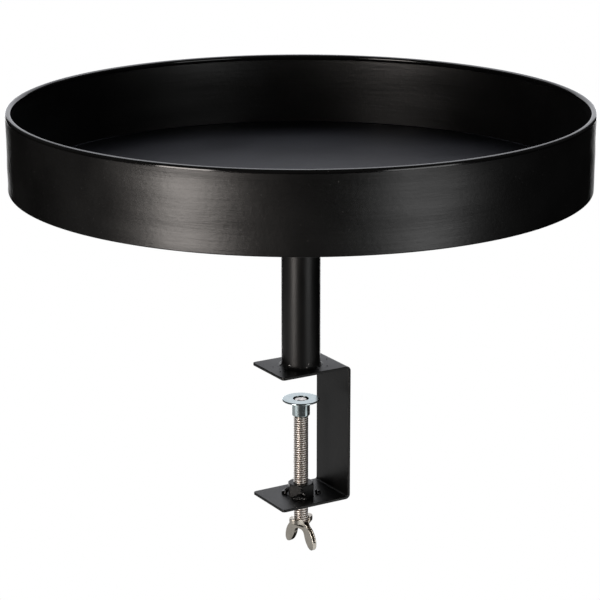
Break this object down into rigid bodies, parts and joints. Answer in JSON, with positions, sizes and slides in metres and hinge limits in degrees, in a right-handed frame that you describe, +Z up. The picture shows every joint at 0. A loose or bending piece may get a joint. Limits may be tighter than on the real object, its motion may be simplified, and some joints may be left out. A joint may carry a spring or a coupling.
{
  "type": "desk clamp cup holder",
  "caption": "Round rimmed tray on a short tubular post, with a C clamp, a hand-turned screw and a swivel pad that grip the edge of a desk.",
  "frame": {"origin": "on the post's axis, on the underside of the clamp's upper jaw, where the desk top bears", "axes": "+Z up along the post and the screw; the clamp's web is on the +X side and its throat opens towards -X; +Y completes the right-handed set"},
  "size_m": [0.3, 0.3, 0.2417],
  "materials": {
    "black_paint": "satin powder coat with a fine orange-peel surface",
    "zinc_plate": "bright bluish zinc plating",
    "nickel_plate": "warm nickel plating, lightly worn",
    "black_oxide": "satin black oxide"
  },
  "bodies": {
    "frame": {"tray_hoop": "black_paint", "tray_floor": "black_paint", "support_flange": "black_paint", "tray_screw_1": "black_oxide", "tray_screw_2": "black_oxide", "tray_screw_3": "black_oxide", "tray_screw_4": "black_oxide", "tray_nut_1": "black_oxide", "tray_nut_2": "black_oxide", "tray_nut_3": "black_oxide", "tray_nut_4": "black_oxide", "post_tube": "black_paint", "flange_weld": "black_paint", "post_weld": "black_paint", "clamp_bracket": "black_paint", "weld_nut": "black_paint", "nut_tack_1": "black_paint", "nut_tack_2": "black_paint", "nut_tack_3": "black_paint"},
    "pad": {"swivel_pad": "zinc_plate"},
    "screw": {"clamp_screw": "nickel_plate", "wing_handle": "nickel_plate"}
  },
  "joints": [
    {"name": "pad_travel", "type": "slide", "parent": "frame", "child": "pad", "axis": [0, 0, 1], "range_m": [-0.0375, 0.01]},
    {"name": "screw_turn", "type": "hinge", "parent": "pad", "child": "screw", "pos_m": [0, 0, -0.05], "axis": [0, 0, 1], "range_deg": [-10800, 2880]}
  ],
  "couplings": [
    {"joint": "screw_turn", "follows": "pad_travel", "rad_per_m": 5026.5}
  ]
}
